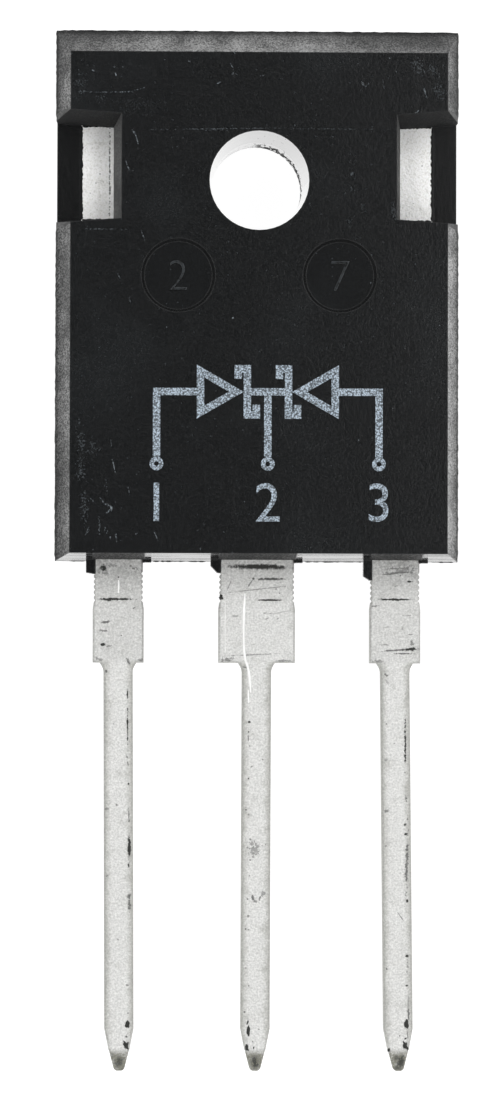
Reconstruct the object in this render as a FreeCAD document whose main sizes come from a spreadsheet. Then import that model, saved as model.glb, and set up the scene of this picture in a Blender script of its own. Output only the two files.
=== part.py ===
import FreeCAD, Part
import os
import re
from math import cos, pi, sin
import Sketcher

# A dual Schottky rectifier with a common cathode, in a moulded package with three leads.
# Millimetres. The origin is the axis of the screw hole at the heat-sink face. +X runs across
# the leads, +Y away from their tips and +Z out of the marked front. It lies on its heat sink.

sizes = {
    # moulded body, measured round its parting line
    "body_width": 15.9,
    "body_length": 21.0,
    "body_height": 5.02,
    "hole_from_top": 6.15,
    "parting_height": 2.41,
    "side_draft": 12,
    "top_draft": 23,
    "bottom_draft": 5,
    "back_draft": 5,
    # screw hole, straight through the tab and opening towards the front
    "hole_radius": 1.8,
    "hole_mouth_radius": 1.95,
    "hole_straight": 2.0,
    "ring_wall": 1.8,
    # side notches that bare the tab for a clip
    "notch_inner": 5.68,
    "notch_length": 3.6,
    "notch_centre": 0.55,
    "notch_flare": 4.3,
    "notch_draft": 5.3,
    # round ejector recesses in the front face
    "recess_radius": 1.45,
    "recess_spacing": 6.33,
    "recess_below_hole": 3.735,
    "recess_depth": 0.2,
    "recess_draft": 30,
    # heat-sink tab, set back from the moulding's lead end, with a lip that the moulding wraps round
    "tab_width": 13.9,
    "tab_setback": 2.9,
    "tab_thickness": 2.0,
    "tab_margin": 1.2,
    "tab_lip": 0.3,
    "tab_lip_height": 0.8,
    # leads
    "lead_pitch": 5.45,
    "lead_thickness": 0.6,
    "lead_length": 20.02,
    "lead_edge_radius": 0.12,
    "shoulder_length": 4.0,
    "anode_shoulder": 2.01,
    "cathode_shoulder": 3.02,
    "pin_width": 1.15,
    "neck_flare": 0.15,
    "neck_length": 0.24,
    "neck_radius": 0.5,
    "tip_length": 1.66,
    "tip_width": 0.82,
    "nose_length": 0.81,
    "nose_width": 0.79,
    "nose_end_width": 0.37,
    "nose_end_radius": 0.17,
    "nose_end_thickness": 0.32,
    "left_lean": 0.085,
    "middle_lean": -0.03,
    "right_lean": 0.165,
    # bend that lifts the cathode lead from the tab, and the anodes' bond posts
    "bend_angle": 45,
    "bend_clearance": 0.3,
    "post_gap": 0.35,
    "post_width": 3.2,
    "post_length": 1.4,
    # shoulders drawn in and toothed where the tie bars were sheared off
    "shear_inset": 0.04,
    "shear_length": 1.6,
    "shear_run_out": 0.3,
    "teeth_start": 0.5,
    "tooth_pitch": 0.21,
    "tooth_width": 0.15,
    "tooth_depth": 0.065,
    # mould flash that stays beside the leads
    "left_flash": 0.51,
    "middle_flash": 0.46,
    "right_flash": 0.73,
    "left_flash_width": 0.27,
    "middle_flash_width": 0.31,
    "right_flash_width": 0.25,
    "flash_nub": 0.06,
    "flash_nub_width": 0.33,
    # dies, in a row set back from the tab's lead end, their solder and the bond wires
    "die_size": 2.6,
    "die_thickness": 0.37,
    "die_spacing": 8.8,
    "die_setback": 3.95,
    "solder_thickness": 0.05,
    "solder_margin": 0.1,
    "wire_diameter": 0.38,
    "wire_spacing": 1.1,
    "wire_rise": 1.45,
    "foot_length": 0.9,
    "foot_width": 0.56,
    "foot_height": 0.3,
    "foot_inset": 0.25,
}

tooth_count = 6
# how far a cut or a root runs past the face that it has to clear
through = 1.0
tolerance = 0.001
# shares of a bond wire's span, rise and foot height that place the corners of its loop
bend_ratio = 0.13
die_lift_ratio = 0.75
post_lift_ratio = 0.95
grip_ratio = 0.6
# share of a flash's width that is left at its ragged end
tip_ratio = 0.5

doc = FreeCAD.newDocument("rectifier")
sheet = doc.addObject("Spreadsheet::Sheet", "Sizes")
for row, (name, value) in enumerate(sizes.items(), start=1):
    sheet.set(f"A{row}", name)
    sheet.set(f"B{row}", str(value))
    sheet.setAlias(f"B{row}", name)
doc.recompute()


def formula(text):
    # Points every size named in a formula at its cell.
    return re.sub(r"[a-z_]+", lambda word: ("Sizes." if word[0] in sizes else "") + word[0], str(text))


def bind(thing, **formulas):
    for path, text in formulas.items():
        thing.setExpression(path.replace("__", "."), formula(text))


def new_body(label):
    body = doc.addObject("PartDesign::Body", label)
    body.Label = label
    return body


def new_sketch(body, plane, offset="0"):
    sketch = body.newObject("Sketcher::SketchObject", "Sketch")
    base = next(feature for feature in body.Origin.OriginFeatures if feature.Role == plane)
    sketch.AttachmentSupport = [(base, "")]
    sketch.MapMode = "FlatFace"
    bind(sketch, AttachmentOffset__Base__z=offset)
    return sketch


def hold(sketch, kind, targets, text):
    index = sketch.addConstraint(Sketcher.Constraint(kind, *targets, 1.0))
    sketch.setExpression(f"Constraints[{index}]", formula(text))


def draw_outline(sketch, corners):
    # A closed outline of straight edges, each corner a pair of formulas.
    first = sketch.GeometryCount
    count = len(corners)
    spots = [FreeCAD.Vector(cos(2 * pi * i / count), sin(2 * pi * i / count), 0) for i in range(count)]
    for i in range(count):
        sketch.addGeometry(Part.LineSegment(spots[i], spots[(i + 1) % count]))
    for i, (across, along) in enumerate(corners):
        following = first + (i + 1) % count
        sketch.addConstraint(Sketcher.Constraint("Coincident", first + i, 2, following, 1))
        hold(sketch, "DistanceX", (-1, 1, first + i, 1), across)
        hold(sketch, "DistanceY", (-1, 1, first + i, 1), along)


def draw_route(sketch, points):
    # An open run of straight edges through points, each a pair of formulas.
    for i in range(len(points) - 1):
        sketch.addGeometry(Part.LineSegment(FreeCAD.Vector(i, i, 0), FreeCAD.Vector(i + 1, i + 1, 0)))
        if i:
            sketch.addConstraint(Sketcher.Constraint("Coincident", i - 1, 2, i, 1))
    for i, (across, along) in enumerate(points):
        spot = (i, 1) if i < len(points) - 1 else (i - 1, 2)
        hold(sketch, "DistanceX", (-1, 1, *spot), across)
        hold(sketch, "DistanceY", (-1, 1, *spot), along)


def draw_box(sketch, width, low, high):
    # A rectangle centred across, between two places along.
    draw_outline(sketch, [(f"{width} / 2", high), (f"-{width} / 2", high),
                          (f"-{width} / 2", low), (f"{width} / 2", low)])


def draw_circle(sketch, across, along, radius):
    index = sketch.GeometryCount
    sketch.addGeometry(Part.Circle(FreeCAD.Vector(0, 0, 0), FreeCAD.Vector(0, 0, 1), 1))
    hold(sketch, "DistanceX", (-1, 1, index, 3), across)
    hold(sketch, "DistanceY", (-1, 1, index, 3), along)
    hold(sketch, "Radius", (index,), radius)


def add_pad(body, sketch, length, kind="Pad", **settings):
    feature = body.newObject("PartDesign::" + kind, kind)
    feature.Profile = sketch
    bind(feature, Length=length)
    for name, value in settings.items():
        setattr(feature, name, value)
    return feature


def add_fillet(body, base, radius, wanted):
    # Rounds the edges of the base that the test asks for.
    doc.recompute()
    names = [f"Edge{i}" for i, edge in enumerate(base.Shape.Edges, start=1) if wanted(edge)]
    feature = body.newObject("PartDesign::Fillet", "Fillet")
    feature.Base = (base, names)
    bind(feature, Radius=radius)
    doc.recompute()
    return feature


def name_faces(feature, wanted):
    return [f"Face{i}" for i, face in enumerate(feature.Shape.Faces, start=1) if wanted(face)]


def is_upright(edge, along):
    # A straight edge along Z at a place along Y.
    spread = edge.BoundBox
    return spread.ZLength > edge.Length - tolerance and abs(spread.YMin - along) < tolerance


def lies_at(shape, height):
    spread = shape.BoundBox
    return abs(spread.ZMin - height) < tolerance and abs(spread.ZMax - height) < tolerance


def is_wall(face):
    return face.BoundBox.ZLength > tolerance


# Places along Y that several pieces share, as formulas.
body_end = "(hole_from_top - body_length)"
tab_top = "(hole_from_top - tab_margin)"
tab_end = f"({body_end} + tab_setback)"
die_row = f"({tab_end} + die_setback)"
post_end = f"({tab_end} - post_gap)"
shoulder_end = f"({body_end} - shoulder_length)"
tip_end = f"({body_end} - lead_length)"
lead_top = "(parting_height + lead_thickness)"


def make_lead(body, shoulder, lean, inner):
    # One lead from its inner end to its nose. The pin leans a little sideways, as it was bent.
    def at(width, place):
        return width, f"{lean} * ({shoulder_end} - {place}) / (lead_length - shoulder_length)", place

    sheared = f"({shoulder} / 2 - shear_inset)"
    stations = inner + [
        (sheared, "0", f"({body_end} - shear_length)"),
        (f"{shoulder} / 2", "0", f"({body_end} - shear_length - shear_run_out)"),
        (f"{shoulder} / 2", "0", shoulder_end),
        ("pin_width / 2 + neck_flare", "0", shoulder_end),
        at("pin_width / 2", f"({shoulder_end} - neck_length)"),
        at("pin_width / 2", f"({tip_end} + tip_length)"),
        at("tip_width / 2", f"({tip_end} + nose_length)"),
        at("nose_width / 2", f"({tip_end} + nose_length)"),
        at("nose_end_width / 2", tip_end),
    ]
    right = [(f"{shift} + {half}", place) for half, shift, place in stations]
    left = [(f"{shift} - ({half})", place) for half, shift, place in reversed(stations)]
    plan = new_sketch(body, "XY_Plane", "parting_height")
    draw_outline(plan, right + left)
    blank = add_pad(body, plan, "lead_thickness")
    doc.recompute()

    bottom = sheet.hole_from_top - sheet.body_length
    neck = bottom - sheet.shoulder_length - sheet.neck_length
    tip = bottom - sheet.lead_length
    necked = add_fillet(body, blank, "neck_radius", lambda edge: is_upright(edge, neck))
    nosed = add_fillet(body, necked, "nose_end_radius", lambda edge: is_upright(edge, tip))
    face_height = sheet.parting_height + sheet.lead_thickness
    rolled = add_fillet(body, nosed, "lead_edge_radius", lambda edge: lies_at(edge, face_height))

    # The nose is coined thinner towards its end, on both faces.
    nose = new_sketch(body, "YZ_Plane")
    start = f"{tip_end} + nose_length"
    beyond = f"{tip_end} - {through}"
    slope = "(lead_thickness - nose_end_thickness) / 2 / nose_length"
    bite = f"{slope} * (nose_length + {through})"
    for face, way in ((lead_top, "-"), ("parting_height", "+")):
        draw_outline(nose, [(start, face), (beyond, face), (beyond, f"{face} {way} {bite}")])
    add_pad(body, nose, f"2 * (pin_width + {through})", "Pocket", Midplane=True)

    teeth = new_sketch(body, "XY_Plane", "parting_height")
    edge = f"({shoulder} / 2 - shear_inset)"
    for side in (-1, 1):
        for tooth in range(tooth_count):
            place = f"{body_end} - teeth_start - {tooth} * tooth_pitch"
            draw_outline(teeth, [(f"{side} * ({edge} - tooth_depth)", place),
                                 (f"{side} * ({edge} + tooth_depth)", f"{place} - tooth_width"),
                                 (f"{side} * ({edge} + tooth_depth)", f"{place} + tooth_width")])
    return add_pad(body, teeth, "lead_thickness", "Pocket", Reversed=True)


def make_anode_lead(label, side, lean):
    body = new_body(label)
    post_start = f"({post_end} - post_length)"
    make_lead(body, "anode_shoulder", lean, [
        ("post_width / 2", "0", post_end),
        ("post_width / 2", "0", post_start),
        ("anode_shoulder / 2 - shear_inset", "0", post_start),
    ])
    bind(body, Placement__Base__x=f"{side} * lead_pitch")
    return body


def make_tab():
    # The tab and the cathode lead are one stamping, thick behind the dies and thin in the lead.
    body = new_body("heat_sink_tab")
    run = "((parting_height + lead_thickness - tab_thickness) / tan(bend_angle))"
    bend_start = f"({tab_end} - bend_clearance)"
    bend_end = f"({bend_start} - {run})"
    make_lead(body, "cathode_shoulder", "middle_lean",
              [("cathode_shoulder / 2 - shear_inset", "0", bend_end)])

    inside = f"({tab_end} + tab_lip + {through})"
    ease = "lead_thickness * tan(bend_angle / 2)"
    overlap = f"({bend_end} - lead_edge_radius)"
    bend = new_sketch(body, "YZ_Plane")
    draw_outline(bend, [
        (inside, "tab_thickness"),
        (bend_start, "tab_thickness"),
        (bend_end, lead_top),
        (overlap, lead_top),
        (overlap, "parting_height"),
        (f"{bend_end} + {ease}", "parting_height"),
        (f"{bend_start} + {ease}", "tab_thickness - lead_thickness"),
        (inside, "tab_thickness - lead_thickness"),
    ])
    add_pad(body, bend, "cathode_shoulder - 2 * shear_inset", Midplane=True)

    for inset, bottom, height in (("0", "tab_thickness - tab_lip_height", "tab_lip_height"),
                                  ("tab_lip", "0", "tab_thickness - tab_lip_height")):
        plate = new_sketch(body, "XY_Plane", bottom)
        draw_box(plate, f"(tab_width - 2 * {inset})", f"{tab_end} + {inset}", f"{tab_top} - {inset}")
        add_pad(body, plate, height)

    opening = new_sketch(body, "XY_Plane")
    draw_circle(opening, "0", "0", "hole_radius + ring_wall")
    add_pad(body, opening, "tab_thickness", "Pocket", Reversed=True)
    return body


def make_die(label, side):
    die = doc.addObject("Part::Box", label)
    die.Label = label
    bind(die, Length="die_size", Width="die_size", Height="die_thickness",
         Placement__Base__x=f"{side} * die_spacing / 2 - die_size / 2",
         Placement__Base__y=f"{die_row} - die_size / 2",
         Placement__Base__z="tab_thickness + solder_thickness")
    return die


def make_solder(label, side):
    width = "(die_size + 2 * solder_margin)"
    solder = doc.addObject("Part::Box", label)
    solder.Label = label
    bind(solder, Length=width, Width=width, Height="solder_thickness",
         Placement__Base__x=f"{side} * die_spacing / 2 - {width} / 2",
         Placement__Base__y=f"{die_row} - {width} / 2",
         Placement__Base__z="tab_thickness")
    return solder


def make_bond_wire(label, across):
    # A loop of round wire between two feet that the bonding tool pressed flat.
    body = new_body(label)
    bind(body, Placement__Base__x=across)
    die_place = f"({die_row} - foot_inset)"
    post_place = f"({post_end} - post_length / 2)"
    die_face = "(tab_thickness + solder_thickness + die_thickness)"
    span = f"({post_place} - {die_place})"
    route = [
        (die_place, f"{die_face} + {grip_ratio} * foot_height"),
        (f"{die_place} + {bend_ratio} * {span}", f"{die_face} + {die_lift_ratio} * wire_rise"),
        (f"{die_place} + {span} / 2", f"{die_face} + wire_rise"),
        (f"{post_place} - {bend_ratio} * {span}", f"{die_face} + {post_lift_ratio} * wire_rise"),
        (post_place, f"{lead_top} + {grip_ratio} * foot_height"),
    ]
    loop = new_sketch(body, "YZ_Plane")
    draw_route(loop, route)
    section = body.newObject("Sketcher::SketchObject", "Sketch")
    section.AttachmentSupport = [(loop, "Edge1")]
    section.MapMode = "NormalToEdge"
    draw_circle(section, "0", "0", "wire_diameter / 2")
    pipe = body.newObject("PartDesign::AdditivePipe", "AdditivePipe")
    pipe.Profile = section
    pipe.Spine = (loop, [f"Edge{i + 1}" for i in range(len(route) - 1)])
    pipe.Transition = "Right corner"
    for place, face in ((die_place, die_face), (post_place, lead_top)):
        foot = new_sketch(body, "XY_Plane", face)
        draw_box(foot, "foot_width", f"{place} - foot_length / 2", f"{place} + foot_length / 2")
        add_pad(body, foot, "foot_height")
    return body


def make_notch_core(side):
    # What shapes a side notch: it stands on the tab, widens outwards and draws in towards the tab.
    body = new_body("notch_core")
    plan = new_sketch(body, "XY_Plane", "tab_thickness")
    outer = f"(body_width / 2 + {through})"
    flared = f"(notch_length / 2 + ({outer} - notch_inner) * tan(notch_flare))"
    draw_outline(plan, [(f"{side} * notch_inner", "notch_centre - notch_length / 2"),
                        (f"{side} * {outer}", f"notch_centre - {flared}"),
                        (f"{side} * {outer}", f"notch_centre + {flared}"),
                        (f"{side} * notch_inner", "notch_centre + notch_length / 2")])
    straight = add_pad(body, plan, f"body_height - tab_thickness + {through}")
    doc.recompute()
    draft = body.newObject("PartDesign::Draft", "Draft")
    draft.Base = (straight, name_faces(straight, is_wall))
    draft.NeutralPlane = (straight, name_faces(straight, lambda face: lies_at(face, sheet.tab_thickness)))
    draft.Reversed = True
    bind(draft, Angle="notch_draft")
    return body


def make_mould_blank():
    # The blank is widest at its parting line and narrows from there to its front and its back.
    body = new_body("mould_blank")
    rise = "(body_height - parting_height)"
    ends = new_sketch(body, "XZ_Plane")
    back = "(body_width / 2 - parting_height * tan(back_draft))"
    front = f"(body_width / 2 - {rise} * tan(side_draft))"
    draw_outline(ends, [(back, "0"), ("body_width / 2", "parting_height"), (front, "body_height"),
                        (f"-{front}", "body_height"), ("-body_width / 2", "parting_height"),
                        (f"-{back}", "0")])
    add_pad(body, ends, "2 * body_length", Midplane=True)

    trim = new_sketch(body, "YZ_Plane")
    for way, end, draft in ((1, "hole_from_top", "top_draft"), (-1, body_end, "bottom_draft")):
        low = f"{end} - {way} * (parting_height + {through}) * tan(back_draft)"
        high = f"{end} - {way} * ({rise} + {through}) * tan({draft})"
        beyond = f"{way} * 2 * body_length"
        draw_outline(trim, [(low, f"-{through}"), (end, "parting_height"), (high, f"body_height + {through}"),
                            (beyond, f"body_height + {through}"), (beyond, f"-{through}")])
    add_pad(body, trim, "2 * body_width", "Pocket", Midplane=True)

    # Flash squeezed out beside each lead, long on its left and a nub on its right.
    flash = new_sketch(body, "XY_Plane", "parting_height")
    for side, shoulder, name, step in ((-1, "anode_shoulder", "left_flash", 0.92),
                                       (0, "cathode_shoulder", "middle_flash", 0.4),
                                       (1, "anode_shoulder", "right_flash", 0.8)):
        root = f"{body_end} + {through} / 2"
        outer = f"{side} * lead_pitch - {shoulder} / 2 - {name}_width"
        edge = f"{side} * lead_pitch - {shoulder} / 2 + shear_inset + tooth_depth"
        draw_outline(flash, [(outer, root), (edge, root), (edge, f"{body_end} - {name}"),
                             (f"{edge} - {tip_ratio} * {name}_width", f"{body_end} - {name}"),
                             (outer, f"{body_end} - {step} * {name}")])
        far = f"{side} * lead_pitch + {shoulder} / 2 - shear_inset"
        draw_outline(flash, [(far, root), (f"{far} + flash_nub_width", root),
                             (f"{far} + flash_nub_width", f"{body_end} - flash_nub"),
                             (far, f"{body_end} - flash_nub")])
    add_pad(body, flash, "lead_thickness")

    bore = new_sketch(body, "XZ_Plane")
    top = f"body_height + {through}"
    draw_outline(bore, [("0", f"-{through}"), ("hole_radius", f"-{through}"),
                        ("hole_radius", "hole_straight"), ("hole_mouth_radius", "body_height"),
                        ("hole_mouth_radius", top), ("0", top)])
    groove = body.newObject("PartDesign::Groove", "Groove")
    groove.Profile = bore
    groove.ReferenceAxis = (bore, ["V_Axis"])
    groove.Angle = 360

    recesses = new_sketch(body, "XY_Plane", "body_height")
    for side in (-1, 1):
        draw_circle(recesses, f"{side} * recess_spacing / 2", "-recess_below_hole", "recess_radius")
    pocket = add_pad(body, recesses, "recess_depth", "Pocket")
    bind(pocket, TaperAngle="-recess_draft")
    return body


tab = make_tab()
anodes = [make_anode_lead("anode_lead_1", -1, "left_lean"),
          make_anode_lead("anode_lead_2", 1, "right_lean")]
dies = [make_die(f"diode_die_{i}", side) for i, side in ((1, -1), (2, 1))]
solders = [make_solder(f"die_solder_{i}", side) for i, side in ((1, -1), (2, 1))]
wires = []
for side in (-1, 1):
    for lane in (-1, 1):
        place = f"({side} * die_spacing / 2 + {lane} * wire_spacing / 2)"
        wires.append(make_bond_wire(f"bond_wire_{len(wires) + 1}", place))
doc.recompute()

# The moulding fills every space that the metal and the dies leave.
insert = doc.addObject("Part::MultiFuse", "insert")
cores = [make_notch_core(side) for side in (-1, 1)]
insert.Shapes = [tab] + anodes + dies + solders + wires + cores
moulding = doc.addObject("Part::Cut", "moulded_body")
moulding.Label = "moulded_body"
moulding.Base = make_mould_blank()
moulding.Tool = insert
doc.recompute()

for item in doc.Objects:
    broken = [word for word in item.State if word in ("Invalid", "Error")]
    if broken:
        raise RuntimeError(f"{item.Name} is {broken}")

pieces = [moulding, tab] + anodes + dies + solders + wires
for piece in pieces:
    if piece.Shape.isNull() or not piece.Shape.isValid():
        raise RuntimeError(f"{piece.Label} has no sound shape")

os.makedirs("parts", exist_ok=True)
for piece in pieces:
    piece.Shape.exportStep(f"parts/{piece.Label}.step")
    spread = piece.Shape.BoundBox
    print(f"{piece.Label}: {len(piece.Shape.Solids)} solid, {piece.Shape.Volume:.3f} mm3, "
          f"x {spread.XMin:.2f} to {spread.XMax:.2f}, y {spread.YMin:.2f} to {spread.YMax:.2f}, "
          f"z {spread.ZMin:.2f} to {spread.ZMax:.2f}")
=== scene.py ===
import math
import random

import bmesh
import bpy
from mathutils import Euler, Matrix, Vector


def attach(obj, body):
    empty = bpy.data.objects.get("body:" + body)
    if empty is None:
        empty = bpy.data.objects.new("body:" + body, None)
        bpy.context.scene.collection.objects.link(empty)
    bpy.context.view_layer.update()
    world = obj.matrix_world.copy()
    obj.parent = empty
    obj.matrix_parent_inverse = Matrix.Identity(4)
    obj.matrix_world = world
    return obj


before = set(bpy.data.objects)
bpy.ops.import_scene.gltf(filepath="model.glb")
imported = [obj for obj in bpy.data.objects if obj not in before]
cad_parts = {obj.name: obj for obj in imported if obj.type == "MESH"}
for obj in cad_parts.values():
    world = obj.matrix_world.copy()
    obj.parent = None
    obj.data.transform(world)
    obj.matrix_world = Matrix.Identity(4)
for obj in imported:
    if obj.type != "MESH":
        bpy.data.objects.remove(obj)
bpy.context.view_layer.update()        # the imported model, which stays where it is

# A rectifier in a moulded package with three leads, lying on its heat sink and seen from above.
# Tables are in millimetres, and the pieces are made in metres.
mm = 0.001


# Helpers for materials. They add to the node tree that was started last.
tree = None


class Value:
    # The output of a shader node. A sum with it adds a Math node.
    def __init__(self, socket):
        self.socket = socket

    def __add__(self, other):
        return doMath("ADD", self, other)

    def __sub__(self, other):
        return doMath("SUBTRACT", self, other)

    def __rsub__(self, other):
        return doMath("SUBTRACT", other, self)

    def __mul__(self, other):
        return doMath("MULTIPLY", self, other)

    def __abs__(self):
        return doMath("ABSOLUTE", self)


def named(sockets):
    return {socket.name: Value(socket) for socket in sockets}


def link(value, node, name):
    tree.links.new(value.socket, node.inputs[name])


def fillInputs(node, values):
    # An input is given a plain value or another node's output.
    for name, value in values.items():
        if isinstance(value, Value):
            link(value, node, name)
        else:
            node.inputs[name].default_value = value
    return node


def addNode(kind, inputs=None, **settings):
    node = tree.nodes.new("ShaderNode" + kind)
    for name, value in settings.items():
        setattr(node, name, value)
    return fillInputs(node, inputs or {})


def addValue(kind, output, inputs=None, **settings):
    return Value(addNode(kind, inputs, **settings).outputs[output])


def doMath(operation, first, second=0.0, clamp=False):
    return addValue("Math", 0, {0: first, 1: second}, operation=operation, use_clamp=clamp)


def largest(first, *others):
    for other in others:
        first = doMath("MAXIMUM", first, other)
    return first


def separate(vector):
    return [Value(socket) for socket in addNode("SeparateXYZ", {0: vector}).outputs]


def stretch(point, scales):
    return addValue("VectorMath", 0, {0: point, 1: scales}, operation="MULTIPLY")


def ramp(value, start, end, low=0.0, high=1.0):
    # From low at the start to high at the end, and level beyond them.
    return addValue("MapRange", 0, {"Value": value, "From Min": start, "From Max": end, "To Min": low,
                                    "To Max": high}, interpolation_type="SMOOTHSTEP")


def blendColours(share, first, second, way="MIX"):
    return addValue("Mix", 2, {0: share, 6: first, 7: second}, data_type="RGBA", blend_type=way)


def mixValue(share, first, second):
    return addValue("Mix", 0, {0: share, 2: first, 3: second}, data_type="FLOAT")


def addNoise(point, size, detail=2.0, roughness=0.5):
    # Soft noise about 0.5, with grains of a size in millimetres.
    return addValue("TexNoise", 0, {"Vector": point, "Scale": 1 / size, "Detail": detail,
                                    "Roughness": roughness})


def addBump(shader, height, strength, distance, **more):
    bump = addValue("Bump", 0, {"Height": height, "Strength": strength, "Distance": distance, **more})
    link(bump, shader, "Normal")


def startGroup(name, inputs, outputs):
    global tree
    tree = bpy.data.node_groups.new(name, "ShaderNodeTree")
    for label, kind, value in inputs:
        socket = tree.interface.new_socket(name=label, in_out="INPUT", socket_type="NodeSocket" + kind)
        socket.default_value = value
    for label in outputs:
        tree.interface.new_socket(name=label, in_out="OUTPUT", socket_type="NodeSocketFloat")
    return named(tree.nodes.new("NodeGroupInput").outputs), tree.nodes.new("NodeGroupOutput")


def addGroup(group, **values):
    node = tree.nodes.new("ShaderNodeGroup")
    node.node_tree = group
    return named(fillInputs(node, values).outputs)


def startMaterial(name):
    # A material with its Principled shader and the object's own coordinates in millimetres.
    global tree
    material = bpy.data.materials.new(name)
    material.use_nodes = True
    tree = material.node_tree
    point = addValue("Mapping", 0, {"Vector": addValue("TexCoord", "Object"), "Scale": [1 / mm] * 3})
    return material, tree.nodes["Principled BSDF"], point


def makeGrainGroup():
    # Fine grain: a shade that varies about 1, and a height for bump.
    given, result = startGroup("fineGrain", [
        ("Point", "Vector", (0, 0, 0)), ("Scale", "Float", 10.0), ("Contrast", "Float", 0.2)
    ], ["Shade", "Height"])
    fine = addValue("TexNoise", 0, {"Vector": given["Point"], "Scale": given["Scale"],
                                    "Detail": 3.0, "Roughness": 0.6})
    link((fine - 0.5) * given["Contrast"] * 2.0 + 1.0, result, "Shade")
    link(fine, result, "Height")
    return tree


def makeSpeckGroup():
    # Scattered specks of dust: a few of the cells hold a small dot.
    given, result = startGroup("dustSpecks", [
        ("Point", "Vector", (0, 0, 0)), ("Scale", "Float", 2.0), ("Size", "Float", 0.1),
        ("Share", "Float", 0.3)
    ], ["Mask"])
    cells = named(addNode("TexVoronoi", {"Vector": given["Point"], "Scale": given["Scale"]}).outputs)
    dot = ramp(cells["Distance"], given["Size"], given["Size"] * 0.5)
    pick = named(addNode("SeparateColor", {0: cells["Color"]}).outputs)
    link(dot * doMath("LESS_THAN", pick["Red"], given["Share"]) * pick["Green"], result, "Mask")
    return tree


markLook = {
    "reach": 8.0,                        # how far off a mark is felt, in half widths
    "flat": 1000000,                     # marks go through the whole thickness
    "rim": (1.2, 0.5),                   # where a mark begins and where it is full
    "torn": 3.0,
    "steps": (0.5, 0.8, 1.2, 1.8, 2.8),  # of raggedness
    "faint": 0.25,                       # weaker marks keep their own strength
}


def makeMarkGroup():
    # Scratches, smears or spots of one strength: solid near the middle and ragged at the rim.
    given, result = startGroup("handlingMark", [
        ("Away", "Float", 4.0), ("Noise", "Float", 0.5), ("Ragged", "Float", 1.0), ("Strength", "Float", 1.0)
    ], ["Mask"])
    edge = given["Away"] + (given["Noise"] - 0.5) * given["Ragged"] * markLook["torn"]
    link(ramp(edge, *markLook["rim"], 0.0, given["Strength"]), result, "Mask")
    return tree


grainGroup = makeGrainGroup()
speckGroup = makeSpeckGroup()
markGroup = makeMarkGroup()


def gatherMarks(point, noise, rows):
    # The strongest of many marks at each point, from rows of x, y, half width, half height, turn, strength
    # and raggedness. Marks of like strength and raggedness are cut out together, by the nearest one.
    look = markLook
    nearest = {}
    for x, y, halfWidth, halfHeight, turn, strength, ragged in rows:
        spot = addNode("TexGradient", {"Vector": point}, gradient_type="SPHERICAL")
        place = spot.texture_mapping
        place.vector_type = "TEXTURE"
        place.translation = (x, y, 0)
        place.rotation = (0, 0, math.radians(turn))
        place.scale = (halfWidth * look["reach"], halfHeight * look["reach"], look["flat"])
        near = Value(spot.outputs[1])
        kind = (round(strength, 1) if strength > look["faint"] else strength,
                min(look["steps"], key=lambda step: abs(step - ragged)))
        nearest[kind] = largest(nearest[kind], near) if kind in nearest else near
    masks = []
    for (strength, ragged), near in nearest.items():
        away = look["reach"] - near * look["reach"]
        masks.append(addGroup(markGroup, Away=away, Noise=noise, Ragged=ragged, Strength=strength)["Mask"])
    return largest(*masks)


def keepAbove(normalUp, mask):
    # Only what faces up shows the mark.
    return mask * ramp(normalUp, 0.5, 0.8)


print("materials")

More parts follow.
